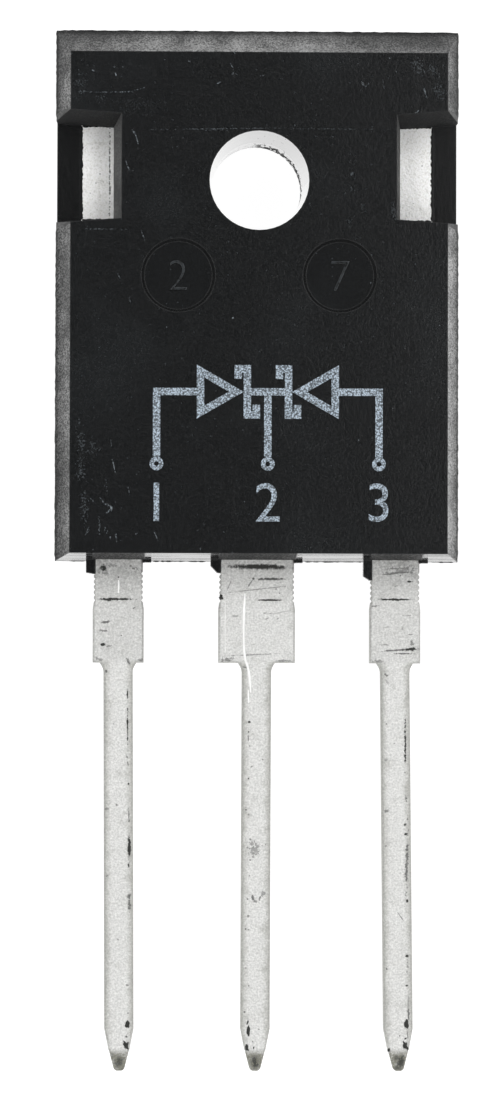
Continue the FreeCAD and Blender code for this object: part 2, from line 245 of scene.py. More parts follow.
faceScuffs = [
    (-5.69, 3.43, 0.824, 0.022, 1, 0.5, 1.4), (-4.75, 3.54, 0.353, 0.018, 16, 0.4, 0.9),
    (-5.64, 4.13, 0.027, 0.071, 20, 0.9, 0.5), (-5.7, 4.42, 0.035, 0.031, 0, 0.7, 0.5),
    (-5.38, 4.43, 0.047, 0.024, -40, 0.4, 0.6), (-6.53, 4.27, 0.055, 0.027, -30, 0.55, 0.6),
    (-6.75, 4.48, 0.035, 0.031, 0, 0.5, 0.6), (-6.98, 4.66, 0.047, 0.035, 30, 0.35, 0.8),
    (-7.03, 3.79, 0.196, 0.118, 0, 0.12, 3), (-6.95, 4.13, 0.196, 0.039, 0, 0.16, 1.6),
    (-2.76, 4.66, 0.039, 0.024, 0, 0.5, 0.5), (-1.61, 3.81, 0.086, 0.02, 25, 0.8, 0.6),
    (-1.08, 4.46, 0.024, 0.176, 28, 0.5, 0.8), (-1, 4.27, 0.094, 0.118, 0, 0.2, 2.6),
    (-3.73, 4.71, 0.031, 0.024, 0, 0.5, 0.4), (-6.27, 3.03, 0.024, 0.067, -35, 0.45, 0.6),
    (-6.11, 3.22, 0.196, 0.094, 20, 0.12, 2.4), (-6.97, 3.42, 0.118, 0.059, 0, 0.3, 2),
    (-4.85, 2.91, 0.784, 0.275, 0, 0.03, 3), (-1, 5.01, 0.063, 0.02, -45, 0.5, 0.5),
    (-4.84, 1.69, 0.027, 0.275, 17, 0.85, 0.8), (-4.93, 1.86, 0.024, 0.118, 30, 0.6, 0.8),
    (-5.16, 0.53, 0.024, 0.255, 20, 0.5, 1), (-5.09, 0.36, 0.043, 0.043, 0, 1, 0.3),
    (-4.55, -2.2, 0.024, 0.196, 20, 0.6, 0.9), (-5.98, 3.43, 0.902, 0.02, 0, 0.3, 1.4),
    (-6.15, -1.95, 0.902, 0.02, 0, 0.3, 1.4), (-1.02, -5.41, 0.039, 0.039, 0, 0.8, 0.5),
    (-5.52, -3.75, 0.024, 0.157, 35, 0.35, 0.9), (-5.05, -4.73, 0.024, 0.137, 10, 0.3, 0.9),
    (-3.68, -6.48, 0.035, 0.035, 0, 0.35, 0.5), (-6.65, -13.78, 0.024, 0.102, -35, 0.6, 0.6),
    (-6.19, -13.88, 0.059, 0.02, 0, 0.5, 0.5), (-5.92, -13.8, 0.02, 0.071, -20, 0.45, 0.6),
    (-5.8, -14.03, 0.024, 0.086, 10, 0.5, 0.8), (-5.57, -14.03, 0.027, 0.141, 8, 0.7, 0.9),
    (-4, -13.97, 0.02, 0.235, 25, 0.5, 0.6), (-4.78, -13.87, 0.059, 0.02, 30, 0.45, 0.6),
    (-2.28, -14.46, 0.024, 0.063, 0, 0.4, 0.6), (-1.36, -13.79, 0.047, 0.02, -40, 0.4, 0.6),
    (-6.46, -14.5, 0.039, 0.027, 0, 0.35, 0.6), (-6.11, -12.58, 0.146, 0.027, -53, 0.9, 0.8),
    (-5.9, -12.76, 0.136, 0.039, -30, 0.8, 1), (-5.77, -12.86, 0.109, 0.051, -82, 0.9, 1.2),
    (-5.86, -12.98, 0.118, 0.035, -131, 0.7, 1.2), (-5.66, -11.24, 0.25, 0.02, -77, 0.75, 0.7),
    (-6.67, -13.71, 0.157, 0.02, -111, 0.55, 0.8), (-5.56, -14, 0.118, 0.024, -96, 0.6, 0.8),
    (-5.79, -14, 0.078, 0.027, -84, 0.5, 0.8), (-6, -13.66, 0.169, 0.024, -100, 0.4, 1),
    (-6.22, -13.57, 0.273, 0.031, -90, 0.3, 1.6), (-6.47, -12.59, 0.149, 0.024, -41, 0.45, 1),
    (-5.94, -12.02, 0.309, 0.02, -84, 0.35, 1.2), (-5.07, -12.21, 0.149, 0.02, -79, 0.6, 0.7),
    (-5.77, -10.36, 0.147, 0.02, -86, 0.35, 1.2), (-7.02, -9.51, 0.079, 0.039, -83, 0.4, 1.6),
    (-6.94, -10.45, 0.393, 0.118, -84, 0.22, 2.8), (-6.95, -11.43, 0.274, 0.118, -92, 0.21, 2.8),
    (-6.81, -12.79, 0.469, 0.102, -89, 0.22, 2.8), (-6.53, -10.55, 0.294, 0.118, -86, 0.14, 2.8),
    (-5.27, -11.3, 0.032, 0.02, -25, 0.5, 0.6), (-6.21, -10.56, 0.127, 0.024, -112, 0.3, 1.2),
    (4.05, 3.81, 0.152, 0.031, -54, 0.85, 0.9), (4.21, 3.76, 0.106, 0.024, 48, 0.75, 0.9),
    (4.12, 3.52, 0.029, 0.018, -90, 0.7, 0.5), (4.85, 3.85, 0.197, 0.02, -82, 0.5, 1),
    (6.49, 3.49, 0.224, 0.027, -72, 0.6, 1), (5.32, 4.35, 0.098, 0.02, -57, 0.6, 0.7),
    (6.21, 4.52, 0.222, 0.137, -45, 0.2, 2.8), (7.05, 3.51, 0.215, 0.137, -66, 0.16, 2.8),
    (6.82, 4.35, 0.224, 0.118, -52, 0.14, 2.8), (6.19, 2.73, 0.131, 0.02, 37, 0.55, 0.9),
    (3.64, 0.23, 0.125, 0.055, -45, 0.35, 2.4), (3.61, -0.35, 0.149, 0.094, -67, 0.12, 2.8),
    (4.07, -1.07, 0.202, 0.071, -76, 0.12, 2.6), (5.25, -1.18, 0.237, 0.086, -83, 0.15, 2.8),
    (3.54, -1.64, 0.14, 0.078, -78, 0.11, 2.6), (-1.16, 2.02, 2.35, 0.018, 1, 0.28, 1.8),
    (2.86, 2.03, 1.666, 0.018, 0, 0.22, 1.8), (-1.8, 1.96, 0.333, 0.02, 1, 0.3, 1.8),
]

mouldLook = {
    "black": (0.0052, 0.0057, 0.0061, 1),
    "powderAndReflection": (0.25, 0.253, 0.25, 1),  # the grey of the drafted sides and the bore: partly powder, partly painted reflection
    "pale": (0.20, 0.235, 0.26, 1),    # scuffs
    "faceRoughness": 0.155,
    "recessRoughness": 0.2,
    "sideRoughness": (0.72, 0.50),     # at the parting line and at the front edge
    "duller": 0.25,                    # added below the parting line
    "rubbed": 0.19,                    # taken off where handling smoothed the sides
    "polishedRoughness": 0.05,         # of the bore and the lead end
    "polishedCoat": (0.5, 1.0),        # on the lead end and in the bore
    "polishedIor": 1.8,
    "underLeadRoughness": 0.62,
    "notchRoughness": (0.72, 1.0),     # on its inner wall and its end walls
    "grainSize": 0.055,
    "gritSize": 0.075,
    "edgeRadius": 0.00005,
    "thinPowder": (0.35, 0.85),        # low down, at the top end and at the lead end
    "frontPowderAndReflection": (1.0, 0.88),        # painted reflection and powder, paler towards the front edge, at the same ends
    "sidePowder": 0.86,
    "topPowder": (1.35, 0.36),         # in the middle of the top end and at its corners
    "rightPowder": 0.72,               # above the right notch
    "flashPowder": 0.5,
    "notchPowder": 0.28,
    # painted reflection: the glossy bore wall is painted pale, as if it mirrored the white floor
    "boreReflection": 0.5,
    "dust": (0.6, 0.16),               # the coarse specks and the fine ones
    "haze": (0.02, 0.016),             # in wide clouds and in small ones
    # painted highlight on the tops of the raised numbers
    "numberHighlight": (0.02, 0.13),
}

# Where the finish of the moulding changes. Each pair is where a change starts and ends.
mouldPlaces = {
    "upwards": (0.9, 0.97),  # the upward part of the normal, on level faces
    "steep": (0.6, 0.9),
    "face": (4.9, 4.97),
    "recessTop": (4.9, 4.86),
    "recessFloor": (4.7, 4.75),
    "raised": (4.83, 4.85),
    "flank": (7.0, 7.1),
    "topEnd": (4.85, 4.95),
    "onTopEnd": (4.9, 5.1),
    "corners": (3.0, 6.0),
    "leadEnd": (-14.0, -14.4),
    "ends": (3.0, -3.0),     # from the top end to the lead end
    "parting": (2.35, 2.45),
    "front": (2.6, 4.3),
    "flashAcross": (7.93, 7.95),
    "flashUp": (2.6, 2.5),
    "notchMiddle": 0.55,
    "notchAcross": (5.1, 5.2),
    "notchEnds": (2.32, 2.25),
    "bore": (2.2, 2.05),
    "boreFoot": (1.9, 2.1),
    "leadPitch": 5.45,
    "outerLead": 1.02,       # half widths
    "middleLead": 1.52,
    "lip": (2.44, 2.54),
    "upRight": (2.5, 3.5),
    "rubbedRight": (7.0, 7.4),
    "rubbedLow": (-1.0, -2.0),
}


def makeMouldCompound():
    look, spots = mouldLook, mouldPlaces
    material, shader, point = startMaterial("mouldCompound")
    x, y, z = separate(point)
    along, up = separate(addValue("NewGeometry", "Normal"))[1:]

    def within(value, name, *levels):
        return ramp(value, *spots[name], *levels)

    level = within(up, "upwards")
    front = level * within(z, "face")
    recess = level * within(z, "recessTop") * within(z, "recessFloor")
    side = 1.0 - within(up, "steep")

    # Grain and clouds are drawn out down the sides, the way the moulding left its tool.
    drawn = stretch(point, (1, 1, 0.28))
    grain = addGroup(grainGroup, Point=drawn, Scale=1 / look["grainSize"], Contrast=0.75)
    grit = ramp(addNoise(drawn, look["gritSize"], 2.0, 0.75), 0.38, 0.62)
    rough = addNoise(drawn, 0.16, 3.0, 0.6)
    cloud = addNoise(drawn, 1.3, 4.0, 0.6)
    wide = addNoise(point, 4.0, 2.0)

    # Where a point lies: in a notch, in the bore, at the lead end, beside or over a lead.
    aside = abs(x)
    inNotch = within(aside, "notchAcross") * within(abs(y - spots["notchMiddle"]), "notchEnds")
    fromBore = addValue("VectorMath", "Value", {0: stretch(point, (1, 1, 0))}, operation="LENGTH")
    inBore = within(fromBore, "bore")
    leadEnd = within(y, "leadEnd") * ramp(along, -0.6, -0.8)
    fromOuter = abs(aside - spots["leadPitch"]) - spots["outerLead"]
    fromLead = doMath("MINIMUM", fromOuter, aside - spots["middleLead"])
    clear = ramp(fromLead, -0.05, 0.05)

    # The tool left the bore and the lead end smooth, in fine streaks, but for the chipped foot of the bore.
    streaks = ramp(addNoise(stretch(point, (0.12, 1, 4)), 0.5, 2.0), 0.35, 0.6, 0.55, 1.0)
    lip = leadEnd * clear * within(z, "lip")
    chipped = ramp(addNoise(drawn, 0.13, 3.0, 0.65) + ramp(z, 2.4, 0.4, -0.2, 0.06), 0.46, 0.53)
    chipped = chipped * inBore * ramp(x, -0.3, 0.3, 0.2, 1.0)
    bore = inBore * (1.0 - chipped) * within(z, "boreFoot", 0.8, 1.0)
    polished = side * largest(lip * streaks, bore)
    fillInputs(shader, {"Coat Weight": polished * ramp(inBore, 0.0, 1.0, *look["polishedCoat"]),
                        "Coat Roughness": look["polishedRoughness"], "Coat IOR": look["polishedIor"]})

    # The drafted sides are grey with powder in clouds, and painted reflection makes them paler towards the
    # front edge.
    flank, topEnd = within(aside, "flank"), within(y, "onTopEnd")
    outside = largest(flank, within(y, "topEnd"))
    dull = side * doMath("SUBTRACT", outside, leadEnd, clamp=True) * (1.0 - inNotch)
    thin = flank * within(z, "parting") * within(y, "ends", *look["thinPowder"])
    thick = within(z, "front") * within(y, "ends", *look["frontPowderAndReflection"])
    powderAndReflection = dull * largest(thin, thick) * ramp(cloud, 0.28, 0.66, 0.2, 1.0) * grit
    fromTop = abs(x + 1.0)
    powderAndReflection = powderAndReflection * mixValue(topEnd, look["sidePowder"], within(fromTop, "corners", *look["topPowder"]))
    upRight = within(x, "flank") * within(y, "upRight")
    powderAndReflection = powderAndReflection * ramp(upRight, 0.0, 1.0, 1.0, look["rightPowder"])
    onFlash = within(aside, "flashAcross") * within(z, "flashUp")
    onNotch = side * inNotch * ramp(abs(along), 0.5, 0.3)
    # The bore wall is painted pale as a painted reflection of the floor; flash and notch walls get some grey
    # too.
    powderAndReflection = largest(powderAndReflection, onFlash * look["flashPowder"], onNotch * look["notchPowder"],
                     side * bore * look["boreReflection"])
    skin = blendColours(powderAndReflection, look["black"], look["powderAndReflection"])

    # Scuffs, dust and a faint haze lie on the face, and the raised numbers get a painted highlight on their
    # tops.
    torn = addNoise(point, 0.1, 3.0, 0.65)
    speckled = ramp(addNoise(point, 0.07, 2.0), 0.42, 0.62)
    scuffs = keepAbove(up, gatherMarks(point, torn, faceScuffs)) * ramp(speckled, 0.0, 1.0, 0.06, 1.05)
    coarseDust = addGroup(speckGroup, Point=point, Scale=1.6, Size=0.055, Share=0.35)["Mask"]
    fineDust = addGroup(speckGroup, Point=point, Scale=4.6, Size=0.16, Share=0.4)["Mask"]
    dust = largest(coarseDust * look["dust"][0], fineDust * look["dust"][1])
    haze = ramp(wide, 0.48, 0.75) * look["haze"][0] + speckled * look["haze"][1]
    wearAndHighlight = (largest(scuffs, dust) + haze) * (front + recess)
    # The tops of the raised numbers are painted paler: a painted highlight.
    onNumber = recess * within(z, "raised")
    wearAndHighlight = largest(wearAndHighlight, onNumber * ramp(rough, 0.35, 0.6, *look["numberHighlight"]))
    colour = blendColours(wearAndHighlight, skin, look["pale"])
    link(blendColours(1.0, colour, grain["Shade"], "MULTIPLY"), shader, "Base Color")

    # Roughness: of the face, of the sides, of what handling has rubbed, and then of the hollows.
    finish = mixValue(side, look["faceRoughness"], ramp(z, 2.4, 4.9, *look["sideRoughness"]))
    finish = finish + dull * ramp(z, 3.0, 2.6, 0.0, look["duller"])
    finish = mixValue(side * (1.0 - outside), finish, look["faceRoughness"])
    rubbed = largest(within(x, "rubbedRight") * within(y, "rubbedLow"),
                     topEnd * ramp(fromTop, 3.0, 5.5, 0.8, 0.0))
    finish = finish - side * rubbed * look["rubbed"]
    finish = mixValue(side * leadEnd, finish, look["underLeadRoughness"])
    finish = mixValue(side * inNotch, finish, ramp(abs(along), 0.3, 0.7, *look["notchRoughness"]))
    finish = mixValue(recess, finish, look["recessRoughness"])
    finish = finish + (cloud - 0.5) * ramp(side, 0.0, 1.0, 0.04, -0.7)
    finish = finish + (grit - 0.5) * ramp(side, 0.0, 1.0, -0.02, -0.3)
    finish = doMath("ADD", finish, wearAndHighlight * 0.3, clamp=True)
    finish = doMath("ADD", finish, chipped * 0.7, clamp=True)
    link(mixValue(polished, finish, look["polishedRoughness"]), shader, "Roughness")

    # The relief is flatter in the round recesses, coarser on the sides and almost gone where polished.
    relief = (grain["Height"] + rough * 0.8) * ramp(recess, 0.0, 1.0, 1.0, 0.25)
    relief = relief * ramp(polished, 0.0, 1.0, ramp(side, 0.0, 1.0, 1.0, 2.0), 0.1)
    edges = addValue("Bevel", 0, {"Radius": look["edgeRadius"]}, samples=4)
    addBump(shader, relief, 0.35, 0.00002, Normal=edges)
    shader.inputs["IOR"].default_value = 1.5
    return material


leftMarks = [
    (-6.03, -15.14, 0.126, 0.157, 0, 0.8, 1), (-5.7, -15.02, 0.197, 0.063, 0, 0.35, 2),
    (-5.58, -16.36, 0.669, 0.047, 0, 0.9, 0.9), (-5.85, -16.38, 0.197, 0.063, 0, 0.9, 0.5),
    (-5.97, -17.26, 0.177, 0.055, 0, 0.55, 1.5), (-5.99, -17.6, 0.197, 0.039, 0, 0.5, 1.5),
    (-6.04, -18.15, 0.11, 0.063, 0, 0.95, 0.6), (-5.81, -18.21, 0.157, 0.028, 12, 0.4, 1.2),
    (-4.84, -15.14, 0.157, 0.087, -30, 0.5, 2), (-5.44, -15.5, 0.039, 0.039, 0, 0.7, 0.5),
    (-4.83, -16.71, 0.063, 0.028, 30, 0.6, 0.5), (-5.32, -17.79, 0.047, 0.039, 0, 0.6, 0.5),
    (-5.99, -15.34, 0.236, 0.031, 0, 0.35, 2), (-5.06, -18.8, 0.059, 0.138, 25, 0.6, 1.5),
    (-5.92, -19.19, 0.055, 0.071, 30, 0.6, 1), (-4.55, -18.75, 0.118, 0.055, 10, 0.4, 1.5),
    (-6.2, -18.72, 0.157, 0.047, -20, 0.4, 1.5), (-5.08, -20.09, 0.035, 0.197, 0, 0.85, 1),
    (-5.07, -21.35, 0.035, 0.669, 0, 0.8, 1.3), (-5.09, -22.57, 0.035, 0.063, 20, 0.5, 1),
    (-5.05, -22.84, 0.031, 0.094, 15, 0.6, 0.8), (-5.03, -23.62, 0.035, 0.051, 0, 0.8, 0.6),
    (-5.01, -24.85, 0.028, 0.236, 0, 0.5, 1.5), (-5, -25.08, 0.035, 0.055, 0, 0.7, 0.6),
    (-4.99, -26.14, 0.067, 0.492, 0, 0.82, 0.8), (-5.01, -26.83, 0.039, 0.091, 10, 0.85, 0.6),
    (-4.99, -28.01, 0.079, 0.079, 0, 0.6, 1.6), (-4.98, -28.34, 0.063, 0.276, 0, 0.55, 1.4),
    (-5.87, -24.61, 0.087, 0.047, 0, 0.4, 1), (-5.48, -24.44, 0.047, 0.039, -30, 0.45, 0.8),
    (-5.63, -21.27, 0.028, 0.028, 0, 0.5, 0.5), (-5.86, -27.24, 0.055, 0.039, 30, 0.4, 0.8),
    (-5.42, -29.73, 0.071, 0.031, -30, 0.4, 0.8), (-5.02, -33.05, 0.079, 0.134, 0, 0.97, 0.5),
    (-5.08, -33.53, 0.059, 0.043, 0, 0.7, 0.8), (-5.07, -33.86, 0.079, 0.165, -30, 0.97, 0.5),
    (-4.98, -34.04, 0.035, 0.063, -25, 0.9, 0.5), (-5.76, -34.06, 0.035, 0.087, 30, 0.8, 0.6),
    (-5.37, -34.53, 0.165, 0.22, 0, 0.62, 1.3), (-5.64, -34.25, 0.118, 0.118, 0, 0.35, 1.6),
    (-5.05, -31.52, 0.063, 0.039, 0, 0.5, 0.8), (-5.02, -32.61, 0.035, 0.039, 0, 0.5, 0.6),
]

middleMarks = [
    # The first row is a dark band across the lead along the foot of the moulding.
    (0.05, -15.07, 1.319, 0.112, 0, 0.8, 0.45), (0.52, -15.55, 0.669, 0.051, 0, 0.7, 0.8),
    (-0.13, -15.54, 0.063, 0.051, 0, 0.7, 0.5), (-0.25, -15.71, 0.031, 0.236, -35, 0.5, 1.3),
    (0.09, -15.95, 1.319, 0.022, 6.5, 0.42, 0.8), (-1.09, -15.81, 0.024, 0.295, -23, 0.4, 0.8),
    (0.52, -16.38, 0.492, 0.041, 0, 0.97, 0.4), (0.21, -16.38, 0.157, 0.024, 0, 0.6, 0.6),
    (-0.82, -17.01, 0.157, 0.028, 0, 0.4, 1.2), (0.33, -16.89, 0.071, 0.024, 10, 0.4, 1),
    (0.54, -16.9, 0.063, 0.024, 10, 0.45, 1), (0.41, -17.11, 0.079, 0.028, 25, 0.45, 0.8),
    (0.84, -17.1, 0.079, 0.028, 30, 0.4, 0.8), (1, -16.85, 0.394, 0.02, 12, 0.3, 1),
    (-0.26, -18.54, 0.945, 0.028, 3, 0.42, 1.2), (-0.12, -18.13, 0.071, 0.024, 0, 0.35, 0.8),
    (-1.2, -18.74, 0.217, 0.071, 8, 0.5, 1.8), (1.08, -18.76, 0.276, 0.039, 0, 0.4, 1.5),
    (-0.38, -19.04, 0.157, 0.031, -10, 0.45, 1.2), (0.9, -16.11, 0.035, 0.035, 0, 0.5, 0.5),
    (0.76, -15.94, 0.031, 0.047, 0, 0.4, 0.5), (-0.29, -21.18, 0.063, 0.047, 0, 0.8, 0.8),
    (-0.31, -21.57, 0.039, 0.051, 0, 0.7, 0.6), (-0.32, -21.81, 0.031, 0.126, 0, 0.5, 1),
    (-0.27, -22.12, 0.035, 0.047, 0, 0.5, 0.6), (-0.31, -23.41, 0.039, 0.039, 0, 0.75, 0.5),
    (0.25, -22.66, 0.043, 0.035, 0, 0.45, 0.6), (-0.19, -22.94, 0.055, 0.028, 40, 0.45, 0.6),
    (-0.41, -24.63, 0.047, 0.035, 0, 0.6, 0.6), (-0.3, -24.83, 0.043, 0.031, 0, 0.5, 0.6),
    (-0.06, -25.99, 0.217, 0.087, 0, 0.42, 2.6), (-0.09, -26.21, 0.181, 0.197, 0, 0.4, 2.8),
    (-0.24, -25.78, 0.043, 0.031, 0, 0.55, 0.6), (-0.24, -26.6, 0.043, 0.039, 0, 0.55, 0.6),
    (-0.26, -27.22, 0.031, 0.031, 0, 0.5, 0.5), (-0.13, -28.09, 0.051, 0.102, 10, 0.55, 1.2),
    (-0.02, -28.23, 0.094, 0.047, 0, 0.5, 1.2), (0.14, -28.11, 0.039, 0.102, -15, 0.5, 1.2),
    (0.27, -27.93, 0.094, 0.087, 0, 0.38, 2), (-0.34, -28.13, 0.035, 0.035, 0, 0.55, 0.5),
    (-0.31, -28.8, 0.047, 0.063, 0, 0.5, 1), (-0.41, -29.31, 0.043, 0.035, 0, 0.65, 0.5),
    (-0.3, -29.34, 0.043, 0.031, 0, 0.6, 0.5), (-0.4, -30.84, 0.035, 0.051, 0, 0.4, 0.6),
    (-0.28, -31.53, 0.043, 0.043, 0, 0.45, 0.5), (-0.44, -32.56, 0.043, 0.039, 0, 0.55, 0.6),
    (-0.32, -32.97, 0.043, 0.091, -20, 0.8, 0.9), (-0.3, -33.31, 0.067, 0.197, 5, 0.97, 0.4),
    (-0.36, -33.95, 0.063, 0.13, -15, 0.97, 0.5), (-0.12, -33.72, 0.028, 0.047, 20, 0.6, 0.6),
    (-0.08, -33.96, 0.031, 0.055, -10, 0.75, 0.6), (0.12, -33.24, 0.035, 0.028, 0, 0.5, 0.5),
    (-0.03, -34.56, 0.157, 0.22, 0, 0.66, 1.3), (-0.03, -34.36, 0.181, 0.118, 0, 0.35, 2.2),
]

rightMarks = [
    (5.64, -15.11, 0.61, 0.035, 2, 0.42, 0.8), (5.64, -15.28, 0.61, 0.043, 2, 0.45, 0.9),
    (5.88, -15.18, 0.394, 0.142, 0, 0.3, 2), (5.21, -15.34, 0.453, 0.024, 5, 0.45, 0.6),
    (6.02, -15.63, 0.094, 0.043, 0, 0.9, 0.6), (6.14, -15.62, 0.035, 0.035, 0, 0.4, 0.6),
    (5.66, -15.39, 0.031, 0.031, 0, 0.6, 0.5), (5.51, -15.81, 0.126, 0.02, 15, 0.45, 0.6),
    (5.43, -16.34, 0.669, 0.047, 0, 0.93, 1), (5.76, -16.34, 0.394, 0.039, 0, 0.6, 0.6),
    (4.64, -16.6, 0.165, 0.024, 5, 0.6, 0.4), (5.96, -16.97, 0.236, 0.028, 0, 0.35, 1.5),
    (5.1, -17.43, 0.118, 0.02, 8, 0.3, 0.8), (5.75, -17.5, 0.035, 0.118, 20, 0.3, 1.2),
    (6.06, -17.72, 0.118, 0.028, 0, 0.45, 0.8), (5.02, -18.13, 0.177, 0.028, 0, 0.4, 1.2),
    (6.12, -18.05, 0.063, 0.094, 0, 0.45, 2), (5.79, -18.47, 0.354, 0.031, 0, 0.6, 1.2),
    (5.6, -18.33, 0.689, 0.035, 4, 0.6, 1), (6.05, -18.3, 0.3, 0.071, 5, 0.9, 0.7),
    (5.1, -19.32, 0.118, 0.039, -35, 0.5, 1), (5.14, -19.59, 0.047, 0.118, 30, 0.35, 1.2),
    (6.12, -19.25, 0.094, 0.031, 0, 0.35, 1), (4.78, -18.78, 0.157, 0.063, 0, 0.4, 1.8),
    (5.86, -21.99, 0.035, 0.669, 0, 0.75, 2.2), (5.86, -22.68, 0.047, 0.047, 0, 0.85, 0.5),
    (5.86, -21.32, 0.039, 0.039, 0, 0.75, 0.5), (5.85, -23.15, 0.035, 0.039, 0, 0.5, 0.5),
    (5.89, -24.15, 0.047, 0.118, 0, 0.55, 2), (5.96, -24.98, 0.035, 0.039, 0, 0.7, 0.5),
    (5.86, -25.19, 0.055, 0.059, 0, 0.7, 0.8), (5.88, -25.57, 0.087, 0.043, 15, 0.75, 1),
    (5.92, -26.9, 0.059, 0.984, -2, 0.62, 2), (5.94, -28.2, 0.051, 0.079, 0, 0.85, 0.6),
    (5.7, -28.83, 0.022, 0.228, 36, 0.45, 0.5), (5.94, -30.36, 0.063, 0.059, 0, 0.8, 0.8),
    (5.96, -30.71, 0.039, 0.236, 0, 0.4, 1.8), (5.13, -24.67, 0.087, 0.063, 10, 0.45, 1.4),
    (5.11, -26.04, 0.047, 0.047, 0, 0.4, 0.8), (5.1, -22.66, 0.063, 0.047, 0, 0.35, 1.2),
    (5.12, -21.24, 0.035, 0.035, 0, 0.5, 0.5), (5.42, -22.01, 0.043, 0.028, 30, 0.4, 0.5),
    (5.14, -30.86, 0.035, 0.055, 20, 0.6, 0.5), (5.94, -31.52, 0.059, 0.043, 0, 0.75, 0.6),
    (6, -32.16, 0.035, 0.354, 0, 0.35, 1.2), (6, -32.63, 0.051, 0.276, 0, 0.55, 1),
    (5.92, -33.02, 0.091, 0.177, -10, 0.97, 0.5), (5.97, -33.46, 0.024, 0.197, 5, 0.5, 0.8),
    (5.65, -33.49, 0.031, 0.031, 0, 0.7, 0.4), (5.89, -33.6, 0.051, 0.039, 15, 0.9, 0.4),
    (5.88, -33.87, 0.075, 0.173, -32, 0.97, 0.5), (5.99, -34.04, 0.047, 0.059, -30, 0.7, 0.6),
    (5.22, -34.04, 0.051, 0.075, 20, 0.95, 0.5), (5.71, -34.49, 0.134, 0.252, -8, 0.66, 1.2),
    (5.53, -34.36, 0.094, 0.11, 0, 0.45, 1.8), (5.58, -34.75, 0.157, 0.098, 0, 0.45, 1.2),
]

notchMarks = [
    (-6.22, 0.51, 0.03, 0.03, 0, 0.8, 0.5), (-6.38, 0.15, 0.025, 0.025, 0, 0.7, 0.5),
    (-6.61, -0.25, 0.03, 0.025, 0, 0.8, 0.5), (-5.83, 0.4, 0.022, 1.6, 0, 0.7, 3),
    (6.55, 0.9, 0.03, 0.03, 0, 0.6, 0.5), (6.2, -0.6, 0.03, 0.02, 0, 0.5, 0.5),
]

tinLook = {
    "tin": (0.70, 0.70, 0.687, 1),
    "bare": (0.985, 0.985, 0.965, 1),  # bare tab in the notches, painted paler to make up for the shade of the notch walls
    # painted shade of the rounded sides, also used for random mottling
    "band": (0.47, 0.47, 0.445, 1),
    # dirt, and also the painted shade beside the moulding
    "dirt": (0.018, 0.019, 0.016, 1),
    "tarnish": (0.17, 0.168, 0.125, 1),
    "roughness": 0.62,
    "smoother": 0.13,                  # taken off in the notches
    "grainSize": 0.075,
    "pin": (-18.85, -34.87),           # from the shoulder's foot to the tip
    "bandAcross": (0.235, 0.555),      # from the middle line of the pin, where the painted shade of the sides begins and is full
    "shoulderFoot": (-18.7, -18.95),   # where the painted shade along the sides of the pin begins
    "shoulder": (-19.0, -18.6),
    # painted shade, where the body shades the tin
    "shadedBesideBody": (-16.8, -15.0),
    "nose": (-33.96, -34.31),
    "moulded": (-14.0, -13.0),         # where the moulding begins to hold the tab
    "tabFace": (1.5, 1.9),
}


def makeTinPlate(name, marks, centre, lean, shoulderDarkening):
    # Matt tin plating with the dirt and tool marks of one lead, and painted shade towards the rounded sides
    # of each pin and beside the moulding.
    look = tinLook
    material, shader, point = startMaterial(name)
    x, y, z = separate(point)
    up = separate(addValue("NewGeometry", "Normal"))[2]
    grain = addGroup(grainGroup, Point=point, Scale=1 / look["grainSize"], Contrast=0.5)
    rough = addNoise(point, 0.11, 3.0, 0.65)
    mottle = addNoise(point, 0.5, 3.0, 0.55)

    # How far a point lies from the middle line of its pin.
    middle = ramp(y, *look["pin"]) * lean + centre
    frayed = abs(x - middle) + (mottle - 0.5) * 0.2 + (rough - 0.5) * 0.35
    # Painted shade: greyer towards the sides of the pin, and wherever the surface turns away from up.
    band = ramp(frayed, *look["bandAcross"]) * ramp(y, *look["shoulderFoot"])
    edge = largest(band * 0.85, ramp(up, 0.97, 0.75) * 0.4)
    # The bare tab in the notches gets a paler colour: painted light against the shade of the notch walls.
    bare = ramp(y, *look["moulded"]) * ramp(z, *look["tabFace"])
    plated = 1.0 - bare

    # The shoulder is darker, by a share given for each lead, and painted shade of the body darkens the tin
    # most beside the moulding.
    duller = ramp(y, *look["shoulder"], 0.0, shoulderDarkening) + ramp(y, *look["shadedBesideBody"], 0.0, 0.16)
    duller = duller * plated * ramp(rough, 0.3, 0.7, 1.6, 0.4)
    nose = ramp(y, *look["nose"]) * ramp(rough, 0.32, 0.56, 0.35, 1.0) * 0.85
    dirt = keepAbove(up, doMath("MULTIPLY", gatherMarks(point, rough, marks), 1.25, clamp=True))
    colour = look["tin"]
    for share, over in ((bare, "bare"), (edge * plated, "band"), (ramp(mottle, 0.56, 0.75, 0.0, 0.3), "band"),
                        (duller, "dirt"), (nose, "tarnish"), (dirt, "dirt")):
        colour = blendColours(share, colour, look[over])
    colour = blendColours(1.0, colour, grain["Shade"], "MULTIPLY")
    pitted = bare * ramp(addNoise(point, 0.06, 2.0), 0.36, 0.31, 0.0, 0.1)
    link(blendColours(pitted, colour, look["dirt"]), shader, "Base Color")

    link(doMath("SUBTRACT", 1.0, dirt * 0.9, clamp=True), shader, "Metallic")
    link((mottle - 0.5) * 0.25 + look["roughness"] - bare * look["smoother"], shader, "Roughness")
    addBump(shader, grain["Height"] + rough - dirt * 0.6, 0.4, 0.00002)
    return material


def makeBrightTin():
    # Brighter, smoother tin for the low ridges: a painted glint on real raised lines.
    material, shader, point = startMaterial("glintRidgeTin")
    grain = addGroup(grainGroup, Point=point, Scale=12.0, Contrast=0.1)
    link(blendColours(1.0, (0.95, 0.95, 0.94, 1), grain["Shade"], "MULTIPLY"), shader, "Base Color")
    shader.inputs["Metallic"].default_value = 1.0
    link(ramp(grain["Height"], 0.3, 0.7, 0.3, 0.5), shader, "Roughness")
    return material


